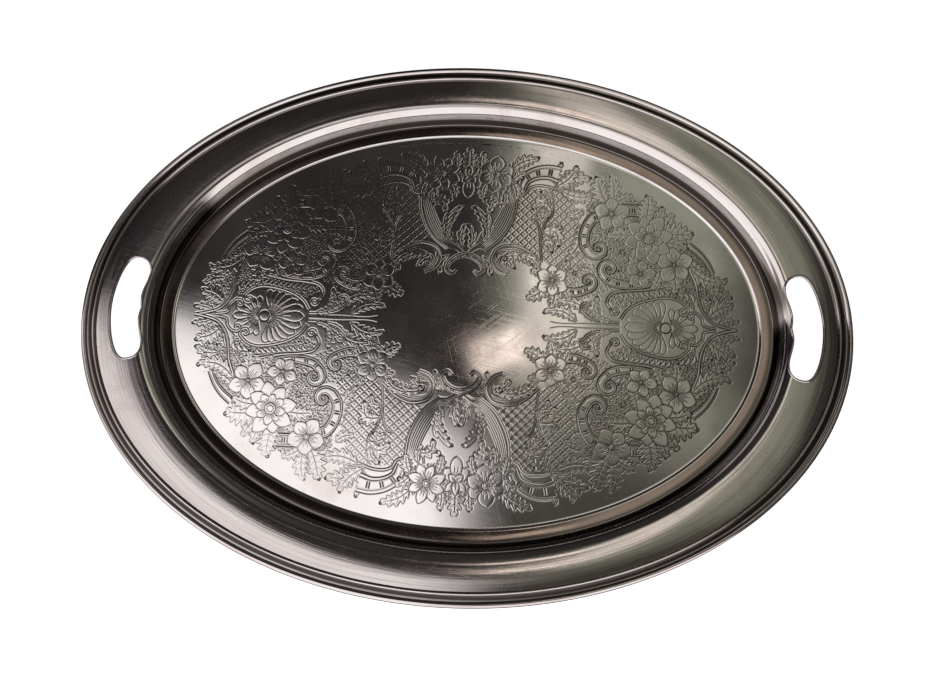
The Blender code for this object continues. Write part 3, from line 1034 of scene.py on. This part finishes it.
def tarnish(tree, place, tints, cloud, ring, streak):
    """Colour of the plate: clean metal under layers of tarnish, stain and dirt, and painted shade on the
    wall and towards the rim, each a mask and a share.
    """
    bright, warm, brown = tints
    broad = noise(tree, place, 8.0, 3.0)
    colour = blend(tree, ramp(tree, broad, 0.38, 0.62), bright, warm)
    blots = times(tree, ramp(tree, cloud, 0.50, 0.68), ramp(tree, broad, 0.42, 0.60, 0.25, 1.0))
    cells = node(tree, "TexVoronoi", {"Vector": place, "Scale": 210.0}).outputs["Distance"]
    spots = times(tree, ramp(tree, cells, 0.10, 0.06), ramp(tree, cloud, 0.50, 0.56))
    height = node(tree, "SeparateXYZ", {0: place}).outputs["Z"]
    for mask, share, tint in (
            (blots, 0.55, brown),
            (ramp(tree, streak, 0.48, 0.68), 0.65, brown),
            (spots, 0.60, GRIME_AND_SHADE),
            (band(tree, height, LEDGE_BAND), 0.88, LEDGE_STAIN),
            # grime at the wall's foot and painted shade up the wall
            (band(tree, height, FOOT_GRIME_WALL_SHADE_BAND), 0.85, GRIME_AND_SHADE),
            (ring, 0.22, brown),
            # painted shade on the flange towards the rim
            (band(tree, height, RIM_SHADE_BAND), 0.22, GRIME_AND_SHADE)):
        colour = blend(tree, times(tree, mask, share), colour, tint)
    return colour


def worn_surface(tree, place, streak, wobble):
    """Shading normal with slight dents, fine scratches in four directions and drawn streaks."""
    hairs = scratches(tree, place, 12, 14, 1500, 0.63)
    for turn in (74, 141, -38):
        hairs = value(tree, "MAXIMUM", hairs, scratches(tree, place, turn, 18, 1300, 0.65))
    dents = node(tree, "Bump", {"Height": noise(tree, place, 11.0, 2.0), "Distance": wobble,
                                "Strength": 1.0})
    cuts = node(tree, "Bump", {"Height": hairs, "Distance": 0.00001, "Strength": 0.25,
                               "Normal": dents.outputs[0]}, invert=True)
    return node(tree, "Bump", {"Height": streak, "Distance": 0.00006, "Strength": 0.6,
                               "Normal": cuts.outputs[0]}).outputs[0]


def silver_plate(name, tints, roughness, wobble):
    """Old silver plate: warm tarnish, grime in the cuts, painted shade in the rim's groove, rubbed streaks,
    fine scratches.
    """
    material, tree, shader = new_material(name)
    place = node(tree, "TexCoord").outputs["Object"]
    patina_and_groove_shade, dull, under = (node(tree, "Attribute", attribute_name=kind).outputs["Fac"]
                          for kind in ("patina_and_groove_shade", "dull", "under"))
    cloud = noise(tree, place, 26.0, 6.0, 0.62)
    fine = noise(tree, place, 420.0, 4.0, 0.6)
    round_place, reach = round_oval(tree, place)
    ring = ramp(tree, reach, *FLANGE_START)
    streak = times(tree, noise(tree, round_place, 2.2, 5.0, 0.6), ring)
    # patina in the chased cuts and matted grounds, painted shade in the rim's groove
    dirt_and_shade = value(tree, "ADD", times(tree, patina_and_groove_shade, 0.75), dull, use_clamp=True)
    colour = tarnish(tree, place, tints, cloud, ring, streak)
    rub = ramp(tree, value(tree, "MAXIMUM", streak, cloud), 0.35, 0.70, *roughness)
    for more in (times(tree, under, 0.24), ramp(tree, fine, 0.35, 0.75, 0.0, 0.02),
                 times(tree, dirt_and_shade, 0.16)):
        rub = value(tree, "ADD", rub, more)
    tree.links.new(blend(tree, dirt_and_shade, colour, GRIME_AND_SHADE), shader.inputs["Base Color"])
    tree.links.new(ramp(tree, under, 0.0, 1.0, 1.0, UNDER_METAL), shader.inputs["Metallic"])
    tree.links.new(rub, shader.inputs["Roughness"])
    tree.links.new(worn_surface(tree, place, streak, wobble), shader.inputs["Normal"])
    return material


def worn_brass():
    """The brass of the wire inside the rolled border, spotted with brown."""
    material, tree, shader = new_material("worn_brass")
    cloud = noise(tree, node(tree, "TexCoord").outputs["Object"], 90.0, 5.0, 0.6)
    tree.links.new(blend(tree, ramp(tree, cloud, 0.45, 0.65), *BRASS_TINTS), shader.inputs["Base Color"])
    tree.links.new(ramp(tree, cloud, 0.35, 0.70, 0.25, 0.45), shader.inputs["Roughness"])
    shader.inputs["Metallic"].default_value = 1.0
    return material

# ---------------------------------------------------------------- studio

CAMERA_PLACE = (0.0355, -0.0846, 0.5249)
CAMERA_TURN = (11.838, 1.437, 2.077)      # degrees about X, Y, Z
CAMERA_LENS = 27.008
CAMERA_SHIFT = (-0.0238, -0.0628)

# The studio's dome is planned stereographically: the middle is straight up, radius 1 the horizon.
DARK_HIGH = (0.030, 0.026, 0.026)         # the dark room overhead
DARK_LOW = (0.007, 0.0065, 0.007)         # and towards its floor
DARK_HEIGHTS = (0.65, 0.10)               # between these the first fades into the second
CLUTTER_SCALE = 13.0                      # uneven light from the things in the room
CLUTTER = (0.30, 0.70, 0.50, 1.50)
FLOOR_SIZE, FLOOR_DROP = 8.0, 0.0002
FLOOR_GLOW = 0.82
TWICE = 0.45                              # share of the light lost when it meets the tray again
SKY_LIGHT = (1.08, 1.04, 1.03)
# The big soft light fills the part of the plan on the low side of three lines:
# weight of X, weight of Y, limit, softness.
SKY_EDGES = (
    (0.000, 1.000, 0.077, 0.018),
    (0.350, 0.937, -0.006, 0.036),
    (0.695, 0.719, -0.020, 0.035),
)
# Smaller patches: place, half size, turn in degrees, softness, light.
PATCHES = (
    ("green_haze", (0.075, 0.140), (0.080, 0.150), 0, (0.35, 0.30), (0.250, 0.255, 0.205)),
    ("beige_haze", (0.032, 0.140), (0.022, 0.100), 0, (0.50, 0.20), (0.720, 0.670, 0.590)),
    ("dark_left", (-0.320, 0.150), (0.090, 0.085), 0, (0.40, 0.40), (0.008, 0.008, 0.009)),
    ("far_corner", (0.032, 0.213), (0.022, 0.022), 0, (0.40, 0.60), (0.640, 0.610, 0.550)),
    ("warm_lamp", (-0.0071, 0.0612), (0.021, 0.014), 24, (0.20, 0.20), (1.250, 1.080, 0.950)),
    ("right_window", (0.300, 0.180), (0.050, 0.060), 30, (0.50, 0.50), (0.400, 0.380, 0.340)),
    ("left_side_light", (-0.440, 0.440), (0.125, 0.190), 135, (0.30, 0.25), (0.300, 0.286, 0.273)),
    ("right_side_light", (0.591, -0.462), (0.090, 0.140), -38, (0.40, 0.40), (0.160, 0.150, 0.145)),
)
# Something dark hangs before the big light here.
SHADES = (
    ("shade", (0.047, -0.095), (0.079, 0.075), 0, (0.45, 0.35), (0.060, 0.056, 0.048)),
    ("left_wall", (-0.700, -0.080), (0.320, 0.110), 0, (0.30, 0.60), (0.230, 0.212, 0.200)),
)
# Faint glows lower in the room: bearing, how far out it starts and softness, the four heights between
# which it comes and goes, light.
GLOWS = (
    ("right_haze", 15, (0.25, 0.15), (0.02, 0.15, 0.65, 0.80), (0.046, 0.043, 0.040)),
    ("upper_haze", 20, (0.20, 0.08), (0.60, 0.74, 0.84, 0.90), (0.185, 0.176, 0.160)),
)


def soft_patch(tree, plan, place, half, turn, softness):
    """Mask of a soft-edged rectangle on the dome's plan."""
    local = node(tree, "Mapping", {0: plan}, vector_type="TEXTURE")
    local.inputs["Location"].default_value = (*place, 0)
    local.inputs["Rotation"].default_value = (0, 0, math.radians(turn))
    local.inputs["Scale"].default_value = (*half, 1)
    axes = node(tree, "SeparateXYZ", {0: local.outputs[0]})
    masks = []
    for axis, soft in zip("XY", softness):
        masks.append(soft_edge(tree, value(tree, "ABSOLUTE", axes.outputs[axis]), 1, soft))
    return times(tree, *masks)


def weighted(tree, p, q, weight_p, weight_q):
    return value(tree, "ADD", times(tree, p, weight_p), times(tree, q, weight_q))


def glow(tree, p, q, height, bearing, start, heights):
    """Mask of a soft-edged band of the dome, on one side of it."""
    side = weighted(tree, p, q, *toward(bearing))
    reach = ramp(tree, side, start[0] - start[1], start[0] + start[1])
    return times(tree, reach, band(tree, height, heights))


def lay_patches(tree, plan, patches, light):
    for _, *shape, colour in patches:
        light = blend(tree, soft_patch(tree, plan, *shape), light, colour)
    return light


def big_light(tree, p, q):
    """Mask of the big soft light."""
    sides = [soft_edge(tree, weighted(tree, p, q, *weights), limit, soft)
             for *weights, limit, soft in SKY_EDGES]
    return times(tree, times(tree, sides[0], sides[1]), sides[2])


def build_world():
    world = bpy.data.worlds.new("studio_dome")
    bpy.context.scene.world = world
    world.use_nodes = True
    tree = world.node_tree
    tree.nodes.clear()
    split = node(tree, "SeparateXYZ", {0: node(tree, "TexCoord").outputs["Generated"]})
    height = split.outputs["Z"]
    rise = value(tree, "ADD", height, 1.0001)
    p = value(tree, "DIVIDE", split.outputs["X"], rise)
    q = value(tree, "DIVIDE", split.outputs["Y"], rise)
    plan = node(tree, "CombineXYZ", {0: p, 1: q}).outputs[0]
    light = blend(tree, ramp(tree, height, *DARK_HEIGHTS), DARK_HIGH, DARK_LOW)
    for _, *shape, colour in GLOWS:
        light = blend(tree, glow(tree, p, q, height, *shape), light, colour)
    light = lay_patches(tree, plan, PATCHES, light)
    clutter = ramp(tree, noise(tree, plan, CLUTTER_SCALE, 5.0, 0.6), *CLUTTER)
    light = node(tree, "VectorMath", {0: light, "Scale": clutter}, operation="SCALE").outputs[0]
    light = blend(tree, big_light(tree, p, q), light, SKY_LIGHT)
    light = lay_patches(tree, plan, SHADES, light)
    light = blend(tree, ramp(tree, height, 0.0, -0.25), light, DARK_LOW)
    path = node(tree, "LightPath")
    again = ramp(tree, path.outputs["Ray Depth"], 2.4, 2.6, 0.0, TWICE)
    light = blend(tree, again, light, (0.0, 0.0, 0.0))
    light = blend(tree, path.outputs["Is Camera Ray"], light, (1.0, 1.0, 1.0))
    node(tree, "OutputWorld", {0: node(tree, "Background", {0: light, 1: 1.0}).outputs[0]})


def build_floor():
    bpy.ops.mesh.primitive_plane_add(size=FLOOR_SIZE, location=(0, 0, -FLOOR_DROP))
    floor = bpy.context.object
    floor.name = "studio_floor"
    material, _, shader = new_material("studio_floor_white")
    shader.inputs["Base Color"].default_value = (0.86, 0.86, 0.86, 1)
    shader.inputs["Roughness"].default_value = 0.8
    shader.inputs["Emission Color"].default_value = (1, 1, 1, 1)
    shader.inputs["Emission Strength"].default_value = FLOOR_GLOW
    floor.data.materials.append(material)
    floor.visible_glossy = False


def build_camera():
    data = bpy.data.cameras.new("camera")
    data.lens = CAMERA_LENS
    data.sensor_width = 36.0
    data.shift_x, data.shift_y = CAMERA_SHIFT
    data.clip_start = 0.01
    camera = bpy.data.objects.new("camera", data)
    camera.location = CAMERA_PLACE
    camera.rotation_euler = Euler([math.radians(a) for a in CAMERA_TURN])
    bpy.context.scene.camera = link(camera)

# ---------------------------------------------------------------- build

build_camera()
build_world()
build_floor()
bpy.context.scene.view_settings.view_transform = "Standard"
pan_silver = silver_plate("tarnished_silver_plate", PAN_TINTS, (0.035, 0.11), 0.00030)
rim_silver = silver_plate("polished_silver_plate", RIM_TINTS, (0.04, 0.10), 0.00008)
build_pan(pan_silver)
build_chasing(pan_silver)
build_rim(rim_silver)
build_binding("hand_hole_bead_left", -1, rim_silver)
build_binding("hand_hole_bead_right", 1, rim_silver)

for wire_slot in bpy.data.objects["edge_wire"].material_slots:
    wire_slot.material = worn_brass()
